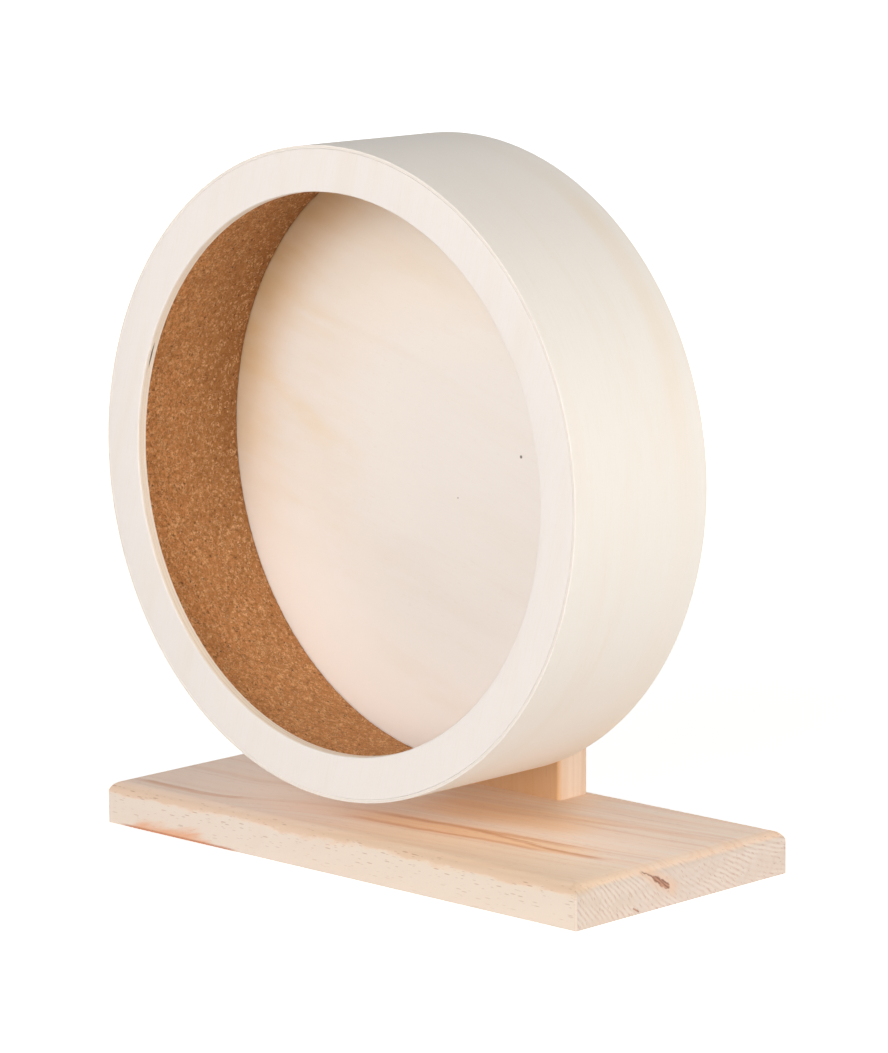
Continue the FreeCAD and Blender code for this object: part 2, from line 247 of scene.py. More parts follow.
def make_cork_lining():
    """Cork strip carried round from butt joint to butt joint.

    Its running face is the inner radius plus pits between granules: a share of the cell noise of
    coarse and fine granules. Both long edges crumble by a ripple along the strip and are worn by
    the square of the nearness to the edge.
    """
    steps_round, steps_across, back_steps = 860, 68, 5
    outer = panel_radius
    inner = outer - cork_thickness
    gap = cork_seam_gap / 2 / inner
    angle = np.linspace(cork_seam_angle + gap, cork_seam_angle + 2 * np.pi - gap, steps_round)[:, None]
    length = inner * angle
    share = np.linspace(0, 1, steps_across)[None, :]
    crumbs = [ripple(length, 0 * share, cork_crumble_size, seed) - cork_crumble_middle for seed in (3, 4)]
    front = cork_low.y + cork_crumble * crumbs[0]
    back = cork_high.y - cork_crumble * crumbs[1]
    y_face = front + (back - front) * share
    pits = coarse_pit * granules(length, y_face, coarse_granule, 1)
    pits = pits + fine_pit * granules(length, y_face, fine_granule, 2)
    width = cork_high.y - cork_low.y
    edge = np.minimum(share, 1 - share) * width
    worn = cork_wear_depth * np.clip(1 - edge / cork_wear_reach, 0, 1) ** 2
    face = inner + pits + worn
    y_back = np.linspace(1, 0, back_steps)[None, :] * width + cork_low.y + 0 * angle
    radius = np.concatenate([face, outer + 0 * y_back], axis=1)
    place = np.concatenate([y_face, y_back], axis=1)
    piece = surface("cork_strip", about_axle(radius, angle, place), ring_columns=True)
    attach(piece, "wheel")
    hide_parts("cork_lining")
    return piece


split_start = math.radians(156.6)
split_end = math.radians(163.5)
split_place = 2.45 * mm
split_width = 0.32 * mm
split_depth = 1.6 * mm
split_least = 0.25
ply_joints = (1.55 * mm, 3.4 * mm)
joint_width, joint_depth = 0.09 * mm, 0.05 * mm
core_easing = 0.2 * mm
core_depth, core_roughness, core_fibre = 0.01 * mm, 0.03 * mm, 0.35 * mm


def make_front_ring():
    """Plywood annulus: one closed section carried all the way round the axle.

    The wall of the mouth is the mouth radius plus a fine groove at each glue joint, the rough sawn
    core between them, and one long narrow split: a cosine along the arc times a bell across it.
    """
    steps_round, wall_steps = 720, 66
    front, back = ring_low.y, ring_high.y
    rounding = ring_edge_radius
    wall = np.linspace(front + rounding, back - rounding, wall_steps)
    face = np.linspace(mouth_radius + rounding, panel_radius - ring_outer_easing, 6)
    outer_easing = quarter_round(face[-1], front + ring_outer_easing, ring_outer_easing, -90, 0)
    radii, places = section(
        (mouth_radius, wall),
        quarter_round(mouth_radius + rounding, back - rounding, rounding, 180, 90),
        (face[1:-1], back),
        (panel_radius, np.array([back, front + 2 * rounding])),
        (outer_easing[0][::-1], outer_easing[1][::-1]),
        (face[1:-1][::-1], front),
        quarter_round(mouth_radius + rounding, front + rounding, rounding, 270, 180),
    )
    angle = np.linspace(0, 2 * np.pi, steps_round, endpoint=False)[:, None]
    depth = places[None, :] - front
    on_wall = (np.arange(radii.size) < wall_steps)[None, :]
    joints = sum(np.exp(-(((depth - joint) / joint_width) ** 2)) for joint in ply_joints)
    core = np.clip((depth - ply_joints[0]) / core_easing, 0, 1)
    core = core * np.clip((ply_joints[1] - depth) / core_easing, 0, 1)
    rough = core * (core_depth + core_roughness * ripple(mouth_radius * angle, depth, core_fibre, 5))
    along_split = (angle - (split_start + split_end) / 2) / (split_end - split_start)
    opening = np.cos(np.pi * np.clip(along_split, -0.5, 0.5))
    across_split = (depth - split_place) / (split_width * (split_least + opening))
    split = split_depth * opening * np.exp(-(across_split**4)) * (np.abs(along_split) < 0.5)
    relief = np.where(on_wall, joint_depth * joints + rough + split, 0.0)
    piece = surface("mouth_ring", about_axle(radii[None, :] + relief, angle, places[None, :]), True, True)
    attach(piece, "wheel")
    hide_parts("front_ring")
    return piece


def make_drum_band():
    """Bent hoop: a rounded strip section carried round from one bevelled end to the other.

    At each radius the strip starts and ends a little further round, by the tangent of the bevel.
    """
    steps_round = 900
    front, back = drum_low.y, drum_high.y
    outer, inner, rounding = wheel_radius, wheel_radius - band_thickness, band_edge_radius
    across = np.linspace(front + 2 * rounding, back - 2 * rounding, 12)
    radii, places = section(
        (outer, across),
        quarter_round(outer - rounding, back - rounding, rounding, 0, 90),
        quarter_round(inner + rounding, back - rounding, rounding, 90, 180),
        (inner, across[::-4]),
        quarter_round(inner + rounding, front + rounding, rounding, 180, 270),
        quarter_round(outer - rounding, front + rounding, rounding, 270, 360),
    )
    bevel = (radii - outer + band_thickness / 2) * math.tan(band_seam_slant)
    start = band_seam_angle + (bevel + band_seam_gap / 2) / radii
    end = band_seam_angle + 2 * np.pi + (bevel - band_seam_gap / 2) / radii
    angle = start + (end - start) * np.linspace(0, 1, steps_round)[:, None]
    lengths = (outer * (angle - band_seam_angle), places + 0 * angle)
    points = about_axle(radii[None, :] + 0 * angle, angle, places[None, :])
    piece = surface("drum_hoop", points, ring_columns=True, lengths=lengths)
    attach(piece, "wheel")
    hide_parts("drum_band")
    return piece


def make_axle_bolt():
    """Hexagon-head bolt as one polar surface: distance from the axle line by angle and place along it.

    The head is half the width across flats over the cosine of the angle from the nearest flat, cut by a
    cone. The thread is a triangle wave of the place less the pitch times the turn, cut by the end cone.
    """
    steps_round = 120
    angle = np.linspace(0, 2 * np.pi, steps_round, endpoint=False)[None, :]
    front, back = bolt_low.y, bolt_high.y
    head_back = front + bolt_head_height
    thread_start = back - thread_length
    flat = np.mod(angle, np.pi / 3) - np.pi / 6
    hexagon = bolt_head_width / 2 / np.cos(flat)
    head_place = np.concatenate([np.linspace(front, front + head_cone_depth, 8), [head_back]])[:, None]
    cone = bolt_head_width / 2 * head_cone_start + (head_place - front) * head_cone_slope
    head = np.minimum(hexagon, cone)
    shank_place = np.array([head_back, thread_start])[:, None]
    shank = axle_radius + 0 * shank_place + 0 * angle
    thread_rows = int(thread_length / thread_pitch * thread_rows_per_turn)
    thread_place = np.linspace(thread_start, back, thread_rows)[:, None]
    wave = np.abs(np.mod(thread_place / thread_pitch - angle / (2 * np.pi), 1.0) - 0.5) * 2
    thread = axle_radius - thread_depth * np.clip(thread_steepness * wave - thread_flat, 0, 1)
    thread = np.minimum(thread, axle_radius - bolt_end_chamfer + (back - thread_place))
    radius = np.concatenate([head, shank, thread])
    place = np.concatenate([head_place, shank_place, thread_place]) + 0 * angle
    piece = surface("threaded_axle_bolt", about_axle(radius, angle, place), ring_columns=True)
    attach(piece, "stand")
    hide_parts("axle_bolt")
    return piece


# Shader helpers
def seen(red, green, blue):
    """A colour as it is seen, 0 to 255, as the linear colour that a shader takes."""
    share = np.array([red, green, blue]) / 255.0
    linear = np.where(share <= 0.04045, share / 12.92, ((share + 0.055) / 1.055) ** 2.4)
    return (*linear.tolist(), 1.0)


class Value:
    """A number that varies over a piece: a shader socket whose sums, products and steps add shader nodes."""

    def __init__(self, finish, socket):
        self.finish = finish
        self.socket = socket

    def math(self, operation, *others):
        sockets = dict(enumerate((self, *others)))
        return self.finish.value("ShaderNodeMath", sockets, operation=operation)

    def __add__(self, other):
        return self.math("ADD", other)

    def __sub__(self, other):
        return self.math("SUBTRACT", other)

    def __mul__(self, other):
        return self.math("MULTIPLY", other)

    def __abs__(self):
        return self.math("ABSOLUTE")

    def greatest(self, *others):
        most = self
        for other in others:
            most = most.math("MAXIMUM", other)
        return most

    def swung(self, width):
        """The value with its middle, 0.5, moved to 0, times a width."""
        return (self - 0.5) * width

    def step(self, low, high, start=0.0, end=1.0):
        """Smooth step of the value between low and high, from start to end."""
        sockets = {"Value": self, "From Min": low, "From Max": high, "To Min": start, "To Max": end}
        return self.finish.value("ShaderNodeMapRange", sockets, interpolation_type="SMOOTHSTEP")

    def fall(self, low, high, start=1.0):
        """Smooth step of the value between low and high, from start down to 0."""
        return self.step(low, high, start, 0.0)

    def within(self, low, high, soft):
        """1 where the value lies from low to high, falling to 0 over soft on both sides."""
        return self.step(low - soft, low) * self.fall(high, high + soft)

    def near(self, middle, soft):
        """1 where the value is at the middle, falling to 0 over soft on both sides."""
        return self.within(middle, middle, soft)


class Finish:
    """A material in the making: a tone that more colours are laid over, by values that vary over the piece.

    place is the point on the piece in millimetres, and x, y, z are its parts.
    """

    def __init__(self, name, roughness=0.6, metallic=0.0):
        self.material = bpy.data.materials.new(name)
        self.material.use_nodes = True
        self.tree = self.material.node_tree
        self.tree.nodes.clear()
        self.shader = self.node("ShaderNodeBsdfPrincipled", {"Roughness": roughness, "Metallic": metallic})
        self.node("ShaderNodeOutputMaterial", {"Surface": self.shader.outputs["BSDF"]})
        corner = self.node("ShaderNodeTexCoord").outputs["Object"]
        self.place = self.scaled(corner, 1 / mm)
        self.x, self.y, self.z = self.split(self.place)
        self.tone = None

    def feed(self, socket, value):
        if isinstance(value, Value):
            value = value.socket
        if isinstance(value, bpy.types.NodeSocket):
            self.tree.links.new(value, socket)
        else:
            socket.default_value = value

    def node(self, kind, sockets=None, **settings):
        node = self.tree.nodes.new(kind)
        for name, value in settings.items():
            setattr(node, name, value)
        for name, value in (sockets or {}).items():
            self.feed(node.inputs[name], value)
        return node

    def value(self, kind, sockets, output=0, **settings):
        return Value(self, self.node(kind, sockets, **settings).outputs[output])

    def scaled(self, place, factor):
        return self.node("ShaderNodeVectorMath", {0: place, "Scale": factor}, operation="SCALE").outputs[0]

    def length(self, place):
        return self.value("ShaderNodeVectorMath", {0: place}, "Value", operation="LENGTH")

    def join(self, x, y, z):
        return self.node("ShaderNodeCombineXYZ", {"X": x, "Y": y, "Z": z}).outputs[0]

    def split(self, place):
        return [Value(self, part) for part in self.node("ShaderNodeSeparateXYZ", {"Vector": place}).outputs]

    def stretched(self, *ways):
        """Place for a pattern: each of its parts is a constant, or a pair (value, length of the pattern)."""
        return self.join(*(way[0] * (1 / way[1]) if isinstance(way, tuple) else way for way in ways))

    def noise(self, place, detail=2.0, roughness=0.5, distortion=0.0, size=1.0):
        sockets = {"Vector": place, "Scale": 1 / size, "Detail": detail, "Roughness": roughness}
        return self.value("ShaderNodeTexNoise", {**sockets, "Distortion": distortion})

    def cells(self, place, size=1.0):
        """Cell noise: (distance to the nearest scattered point, random share of its cell)."""
        node = self.node("ShaderNodeTexVoronoi", {"Vector": place, "Scale": 1 / size})
        share = self.value("ShaderNodeSeparateColor", {"Color": node.outputs["Color"]})
        return Value(self, node.outputs["Distance"]), share

    def spots(self, place, edge, keep):
        """Share of small spots round scattered points, kept where a point's random share is high.

        edge and keep are the ends of the soft steps of the distance and of the random share.
        """
        distance, share = self.cells(place)
        return distance.fall(*edge) * share.step(*keep)

    def ramp(self, share, *stops):
        """Colours at places from 0 to 1, blended between them."""
        node = self.node("ShaderNodeValToRGB", {"Fac": share})
        marks = node.color_ramp.elements
        for place, _ in stops[2:]:
            marks.new(place)
        for mark, (place, colour) in zip(marks, sorted(stops)):
            mark.position = place
            mark.color = seen(*colour)
        return node.outputs[0]

    def blend(self, share, below, above):
        return self.node("ShaderNodeMix", {0: share, 6: below, 7: above}, data_type="RGBA").outputs[2]

    def lay(self, share, colour):
        """Lays a colour over the tone, by share."""
        self.tone = self.blend(share, self.tone, seen(*colour))

    def roughness(self, value):
        self.feed(self.shader.inputs["Roughness"], value)

    def done(self, height, relief):
        """Hands the tone and a relief of some millimetres to the shader."""
        bump = self.node("ShaderNodeBump", {"Height": height, "Distance": relief * mm})
        self.feed(self.shader.inputs["Normal"], bump.outputs[0])
        self.feed(self.shader.inputs["Base Color"], self.tone)
        return self

    def from_axle(self):
        """Distance from the axle line, in millimetres."""
        height = self.z - axle_height / mm
        return (self.x * self.x + height * height).math("SQRT")

    def along_line(self, first, second, first_start, second_start, degrees):
        """Lengths along and across a line in a plane, from its start, at an angle to the first axis."""
        c, s = math.cos(math.radians(degrees)), math.sin(math.radians(degrees))
        first, second = first - first_start, second - second_start
        return first * c + second * s, second * c + first * -s

    def turned(self, degrees):
        """Place in the wheel's plane along and across a grain that lies at an angle to +X."""
        return self.along_line(self.x, self.z, 0.0, axle_height / mm, degrees)


# Plywood
plywood_roughness = 0.62
plywood_relief = 0.03
veneer_tan = (235, 220, 203)
veneer_fibre = (230, 216, 200)


def veneer(finish, pale, along, across, depth, strength=1.0):
    """Tone and height of peeled veneer: broad soft figure, fine fibres and short pores along the grain."""
    figure = finish.noise(finish.stretched((along, 130), (across, 17), (depth, 10)), 3.0, 0.55, 0.7)
    fibre = finish.noise(finish.stretched((along, 16), (across, 0.55), (depth, 2)), 2.0, 0.6)
    pore_place = finish.stretched((along, 5), (across, 0.9), (depth, 2))
    pore = finish.spots(pore_place, (0.12, 0.28), (0.72, 0.8))
    finish.tone = seen(*pale)
    finish.lay(figure.step(0.48, 0.76, 0.0, 0.35 * strength), veneer_tan)
    finish.lay(fibre.step(0.45, 0.8, 0.0, 0.22 * strength), veneer_fibre)
    finish.lay(pore * 0.25, veneer_fibre)
    return fibre * 0.6 + pore * -0.5


ring_grain_angle = 74
ring_pale = (238, 230, 224)
# Plies on the wall of the mouth: their own colours, set paler and peachier than the face as painted light and
# painted warm bounce from the cork
outer_ply_tones = ((0.3, (252, 238, 220)), (0.6, (255, 246, 233)))
core_ply_tones = ((0.3, (246, 228, 206)), (0.65, (254, 241, 224)))
low_wall_light_tone = (255, 240, 220)
glue_tone = (186, 150, 118)
split_shade_tone = (100, 72, 50)


def ring_finish():
    """Plywood annulus: veneer on its faces, three plies with glue lines on the wall of the mouth. The wall
    carries painted light and painted warm bounce from the cork, most at its lower part, and painted shade
    inside its split.
    """
    finish = Finish("ring_plywood", plywood_roughness)
    height = veneer(finish, ring_pale, *finish.turned(ring_grain_angle), finish.y)
    face = finish.tone
    depth = finish.y - ring_low.y / mm
    arc = (finish.z - axle_height / mm).math("ARCTAN2", finish.x) * (mouth_radius / mm)
    long_grain = finish.noise(finish.stretched((arc, 14), (depth, 0.3), 0.0))
    end_grain = finish.noise(finish.stretched((arc, 0.5), (depth, 0.5), 0.0), 3.0)
    outer_ply = finish.ramp(long_grain, *outer_ply_tones)
    core_ply = finish.ramp(end_grain, *core_ply_tones)
    first, second = (joint / mm for joint in ply_joints)
    finish.tone = finish.blend(depth.within(first, second, 0.12), outer_ply, core_ply)
    # Painted light: the lower part of the mouth's wall is made paler; its glue lines show more there
    low_wall_light = finish.z.fall(80.0, 150.0)
    finish.lay(low_wall_light * 0.7, low_wall_light_tone)
    joint = depth.near(first, 0.16) + depth.near(second, 0.16)
    finish.lay(joint * (low_wall_light * 0.4 + 0.25), glue_tone)
    radius = finish.from_axle()
    # Painted shade: dark brown inside the split, where the wall lies beyond the mouth radius
    finish.lay(radius.step(mouth_radius / mm + 0.15, mouth_radius / mm + 0.6), split_shade_tone)
    inside = depth.within(0.35, (ring_high.y - ring_low.y) / mm - 0.35, 0.1)
    on_wall = inside * radius.fall(panel_radius / mm - 2, panel_radius / mm - 1)
    finish.tone = finish.blend(on_wall, face, finish.tone)
    return finish.done(height, plywood_relief)


disc_grain_angle = -17
disc_figure = 0.45
disc_pale = (245, 239, 232)
cork_side_shade_tone = (238, 224, 196)
low_disc_light_tone = (254, 250, 244)
high_disc_light_tone = (255, 242, 220)
golden_rim_shade_tone = (228, 193, 138)
fleck_tone = (240, 214, 170)
knot_tone = (70, 45, 30)
# Start in x and z, slope in degrees, length, width and strength of each fleck; x, z and size of each knot
golden_flecks = (
    (-118.0, 200.0, -30.0, 50.0, 6.0, 0.315),
    (-86.0, 176.0, -22.0, 26.0, 8.0, 0.196),
    (-104.0, 236.0, -24.0, 44.0, 8.0, 0.245),
    (-50.0, 266.0, -20.0, 60.0, 9.0, 0.175),
    (-108.0, 152.0, -28.0, 44.0, 8.0, 0.175),
    (-40.0, 82.0, -24.0, 80.0, 10.0, 0.175),
)
pin_knots = ((40.2, 176.2, 0.9), (2.7, 154.2, 0.4))


def disc_finish():
    """Plywood disc: calm veneer with its grain slightly off level. Painted golden shade lies near its upper
    rim, painted warm shade towards the cork on the left, and painted light over its lower part and its top.

    Golden flecks are soft-edged lines that waver with a cloud of noise, and pin knots are round spots.
    """
    finish = Finish("disc_plywood", plywood_roughness)
    along, across = finish.turned(disc_grain_angle)
    height = veneer(finish, disc_pale, along, across, finish.y, disc_figure)
    inner_face = finish.y.fall(disc_low.y / mm + 0.2, disc_low.y / mm + 0.8)
    cloud = finish.noise(finish.stretched((along, 30), (across, 9), 7.7), 3.0)
    radius = finish.from_axle()
    # Painted warm shade towards the cork on the left of the disc
    cork_side_shade = finish.x.fall(-115.0, -20.0, 0.35) * cloud.step(0.35, 0.65, 0.3, 1.0)
    # Painted light over the lower part of the disc and over its top, against their shade
    low = radius.step(60.0, 115.0) * finish.z.fall(90.0, 190.0, 0.9)
    high = finish.z.step(200.0, 285.0, 0.0, 0.6)
    # Painted golden shade near the upper rim, where the ring overhangs and the cork bounces warm light
    rim_shade = radius.step(102.0, 134.0) * finish.z.step(105.0, 220.0, 0.0, 0.85) * cloud.step(0.3, 0.7, 0.8, 1.0)
    layers = [(cork_side_shade, cork_side_shade_tone), (low, low_disc_light_tone), (high, high_disc_light_tone), (rim_shade, golden_rim_shade_tone)]
    waver = cloud.swung(14.0)
    uneven = cloud.step(0.3, 0.7, 0.3, 1.0)
    for x, z, slope, length, width, share in golden_flecks:
        lead, aside = finish.along_line(finish.x, finish.z, x, z, slope)
        line = lead.near(length / 2, length) * (aside + waver).near(0.0, width)
        layers.append((line * uneven * share, fleck_tone))
    for x, z, size in pin_knots:
        away = finish.length(finish.join(finish.x - x, 0.0, finish.z - z))
        layers.append((away.fall(size / 2, size, 0.85), knot_tone))
    for share, tone in layers:
        finish.lay(share * inner_face, tone)
    return finish.done(height, plywood_relief)


hoop_pale = (239, 231, 221)
hoop_streak_tone = (232, 212, 182)
base_bounce_tone = (244, 224, 194)
hoop_edge_tone = (241, 232, 224)
hoop_core_tone = (235, 224, 212)
# Painted light: paler stretches at the hoop's lower right and at its top, where it lies in shade: start, end
# and softness along the hoop, strength and colour
painted_light_stretches = ((215.0, 245.0, 75.0, 0.6, (250, 246, 240)), (590.0, 640.0, 80.0, 0.7, (252, 246, 238)))


def band_finish():
    """Bent plywood hoop: veneer with its grain round the hoop, three veneers at its edges. Painted light
    pales its lower right and its top, and a painted warm bounce from the base tints its lower right towards
    its back edge.
    """
    finish = Finish("hoop_plywood", plywood_roughness)
    chart = finish.node("ShaderNodeUVMap", uv_map="strip").outputs[0]
    along, across, _ = finish.split(finish.scaled(chart, 1 / mm))
    radius = finish.from_axle()
    height = veneer(finish, hoop_pale, along, across, radius)
    from_front = across - drum_low.y / mm
    drift = finish.noise(finish.stretched((along, 90), 3.7, 0.0), 1.0)
    streak = (from_front + drift * 8.0).within(70.0, 74.0, 7.0)
    patchy = finish.noise(finish.stretched((along, 60), 9.1, 0.0)).step(0.3, 0.65, 0.3, 1.0)
    upper = along.step(380.0, 470.0, 0.2, 1.0)
    finish.lay(streak * patchy * upper * 0.4, hoop_streak_tone)
    # Painted light over the shaded lower right and top of the hoop
    for start, end, soft, share, tone in painted_light_stretches:
        finish.lay(along.within(start, end, soft) * share, tone)
    # Painted warm bounce from the base on the hoop's lower right, towards its back edge
    base_bounce = along.within(200.0, 250.0, 110.0) * from_front.step(50.0, 80.0)
    finish.lay(base_bounce * 0.25, base_bounce_tone)
    face = finish.tone
    finish.tone = seen(*hoop_edge_tone)
    level = radius - (wheel_radius - band_thickness) / mm
    finish.lay(level.within(0.5, 1.0, 0.08), hoop_core_tone)
    off_edge = from_front.within(0.15, (drum_high.y - drum_low.y) / mm - 0.15, 0.1)
    finish.tone = finish.blend(off_edge, finish.tone, face)
    return finish.done(height, plywood_relief)


# Cork
cork_browns = ((0.0, (132, 84, 43)), (0.2, (184, 121, 68)), (0.55, (210, 143, 84)), (0.85, (229, 165, 103)))
coarse_pale = (1.0, (240, 188, 130))
fine_pale = (1.0, (246, 198, 142))
cork_cloud_tone = (172, 114, 60)
low_cork_light_tone = (236, 172, 114)
cork_corner_shade_tone = (140, 92, 46)
chip_tone = (247, 203, 148)
curl_tone = (248, 204, 150)
cork_pore_tone = (92, 56, 28)


def cork_finish():
    """Granulated cork: two sizes of granules in mixed browns, pale chips and curls, dark open pores.

    Painted shade darkens it towards the corner with the disc, most towards the top, and painted light pales
    its lower part.
    """
    finish = Finish("cork", 0.92)
    warp = finish.node("ShaderNodeTexNoise", {"Vector": finish.place, "Scale": 1.1, "Detail": 2.0})
    shift = finish.scaled(warp.outputs["Color"], 1.2)
    place = finish.node("ShaderNodeVectorMath", {0: finish.place, 1: shift}, operation="ADD").outputs[0]
    coarse_distance, coarse = finish.cells(place, 1.4)
    fine_distance, fine = finish.cells(place, 0.62)
    brown = finish.ramp(coarse, *cork_browns, coarse_pale)
    finish.tone = finish.blend(0.55, brown, finish.ramp(fine, *cork_browns, fine_pale))
    finish.lay(finish.noise(finish.place, size=14).step(0.4, 0.75, 0.0, 0.3), cork_cloud_tone)
    # Painted light over the lower cork
    finish.lay(finish.z.fall(40.0, 110.0, 0.15), low_cork_light_tone)
    # Painted shade in the corner with the disc, most towards the top
    corner = finish.y.step(cork_high.y / mm - 55.0, cork_high.y / mm, 0.0, 0.6)
    finish.lay(corner * finish.z.step(60.0, 180.0, 0.35, 1.0), cork_corner_shade_tone)
    chip = coarse.step(0.86, 0.9) * coarse_distance.fall(0.22, 0.4)
    finish.lay(chip * 0.7, chip_tone)
    sparse = finish.noise(finish.place, 1.0, size=3.0).step(0.46, 0.54)
    curl = abs(finish.noise(finish.place, 2.0, 0.5, 0.8, 2.2) - 0.5).fall(0.012, 0.035) * sparse
    finish.lay(curl * 0.65, curl_tone)
    pit = coarse.fall(0.03, 0.06) * coarse_distance.fall(0.2, 0.38) * 0.85
    pore = finish.noise(finish.place, 2.0, 0.6, size=0.9).step(0.66, 0.74, 0.0, 0.6).greatest(pit)
    finish.lay(pore, cork_pore_tone)
    height = coarse_distance * -0.6 + fine_distance * -0.4 + curl * 0.4 + pore * -0.8
    return finish.done(height, 0.17)


# Pine
pine_roughness = 0.58
pine_relief = 0.05
ring_pitch = 2.2
pore_tone = (168, 114, 80)


class Grain:
    """Place in a plank's grain: along it, distance from its heart line, and arc about that line."""

    def __init__(self, finish, along, off, depth):
        self.finish = finish
        self.along = along
        self.radius = (off * off + depth * depth).math("SQRT")
        self.arc = self.radius * depth.math("ARCTAN2", off)

    def noise(self, along, radius, arc, *settings):
        """Noise with each way measured in its own length, for a pattern of about that size."""
        ways = ((self.along, along), (self.radius, radius), (self.arc, arc))
        return self.finish.noise(self.finish.stretched(*ways), *settings)


def pine(finish, grain, pale, tan, dark):
    """Tone and height of a plank sawn near its heart.

    Growth rings lie at equal steps of the distance from the heart line. Broad bands and narrower streaks
    wander from pale to tan, and late wood faintly darkens the end of each ring.
    """
    broad = grain.noise(260, 10, 45, 3.0, 0.55, 0.3)
    streak = grain.noise(130, 3.0, 18, 4.0, 0.6, 0.2)
    fibre = grain.noise(40, 0.7, 0.9, 2.0, 0.6)
    uneven = grain.noise(140, 9, 30, 1.0)
    phase = (grain.radius * (1 / ring_pitch) + uneven * 1.4).math("FRACT")
    late = phase.step(0.3, 0.85) * phase.fall(0.9, 1.0)
    finish.tone = finish.ramp(broad, (0.36, pale), (0.7, tan))
    finish.lay(streak.step(0.44, 0.74, 0.0, 0.42), dark)
    finish.lay(late * 0.05, dark)
    finish.lay(fibre.step(0.5, 0.85, 0.0, 0.14), dark)
    return late * 0.3 + fibre * 0.4


def pores(finish, least, *ways):
    """Share of open pores of the lengths in ways, kept where a pore's random share is above the least."""
    return finish.spots(finish.stretched(*ways), (0.12, 0.24), (least, least + 0.15))


# Base board: its faces, its heart lines along the top and at the right end, and its marks
board_front, board_right, board_top = board_low.y / mm, board_high.x / mm, board_high.z / mm
board_rounding = 6.0
heart_height = 23.2
heart_left = -38.0
heart_right = -11.0
heart_slope = 16 / 150
end_heart = (92.0, 136.0)
dark_ring = 17.9
outer_ring = 31.0
pocket_middle = (-14.6, 11.2)
pocket_slope = -31.0
spot_start = (-32.0, 3.2)
board_tones = ((255, 235, 217), (254, 220, 192), (227, 175, 140))
left_tone = (255, 231, 217)
calm_tone = (252, 224, 192)
rosy_tone = (255, 220, 196)
warm_tone = (255, 204, 146)
dark_ring_tone = (212, 142, 84)
front_edge_tone = (222, 188, 157)
end_edge_tone = (232, 198, 166)
front_face_tone = (229, 215, 201)
end_face_tone = (205, 190, 178)
early_wood_tone = (238, 224, 212)
late_wood_tone = (198, 158, 136)
near_corner_tone = (226, 192, 150)
halo_tone = (230, 188, 152)
bark_tones = ((0.38, (128, 80, 58)), (0.62, (190, 138, 108)))
corner_shade_tone = (214, 192, 174)
resin_tone = (228, 156, 104)
resin_edge_tone = (184, 112, 72)
# Tan zones of the top: start, end and softness along the board and behind the heart line, and strength
warm_zones = (
    ((4.0, 92.0, 30.0), (-29.0, -18.0, 6.0), 1.0),
    ((2.0, 66.0, 26.0), (2.0, 24.0, 9.0), 0.85),
    ((-25.0, 40.0, 25.0), (30.0, 62.0, 9.0), 0.6),
)


def lay_top(finish, grain, off):
    """Lays tan zones and dark rings over the board; off is the distance behind the heart line."""
    x = finish.x
    vein = grain.noise(70, 1.1, 8, 3.0, 0.6)
    zones = [x.within(*along) * off.within(*behind) * share for along, behind, share in warm_zones]
    finish.lay(x.fall(-70.0, 30.0, 0.5), left_tone)
    finish.lay(x.step(-20.0, 30.0) * off.fall(-38.0, -32.0, 0.55), calm_tone)
    finish.lay(x.within(-40.0, 2.0, 22.0) * off.within(-32.0, -14.0, 8.0) * 0.35, rosy_tone)
    finish.lay(zones[0].greatest(*zones[1:]) * vein.step(0.25, 0.75, 0.25, 0.7), warm_tone)
    lead = (x.within(-126.0, -78.0, 10.0) + x.within(4.0, 84.0, 25.0)) * 0.4 + 0.18
    fork = grain.radius + x.step(25.0, 114.0, 0.0, -10.6)
    lines = (
        (grain.radius, dark_ring, 3.8, lead),
        (fork, dark_ring, 3.0, x.within(52.0, 110.0, 16.0) * 0.75),
        (grain.radius, outer_ring, 3.2, x.within(-4.0, 78.0, 22.0) * 0.5),
    )
    wander = finish.noise(finish.stretched((x, 17), (off, 25), 1.9), 3.0, 0.6)
    shift = vein.swung(5.0) + wander.swung(4.0)
    broken = off.step(-3.0, 3.0, 1.0, 0.3) * vein.step(0.2, 0.7, 0.45, 1.15)
    for reach, radius, width, share in lines:
        finish.lay((reach + shift).near(radius, width) * share * broken, dark_ring_tone)


def lay_outer_faces(finish, past_corner):
    """Lays the tones of the rounded top edges, the front and the right end over the board."""
    x, y, z = finish.x, finish.y, finish.z
    edge_low = board_top - board_rounding
    edge_back = board_front + board_rounding
    edge_left = board_right - board_rounding
    flame = finish.noise(finish.stretched((x, 24), (z, 7), 5.3), 5.0, 0.65)
    level = z + flame.swung(11.0)
    by_front = y.fall(edge_back - 2.0, edge_back + 1.0) * z.step(board_top - 2.2, board_top - 0.1, 0.75, 0.2)
    finish.lay(level.step(edge_low, edge_low + 2.4) * by_front, front_edge_tone)
    by_end = x.step(edge_left, edge_left + 2.0, 0.0, 0.5)
    finish.lay(by_end * z.step(edge_low + 1.0, edge_low + 3.0), end_edge_tone)
    below_rounding = level.step(edge_low, edge_low + 2.4, 0.8, 0.1)
    finish.lay(below_rounding * y.fall(board_front + 0.5, board_front + 3.5), front_face_tone)
    finish.lay(past_corner * x.step(board_right - 1.6, board_right - 0.4, 0.0, 0.7), end_face_tone)


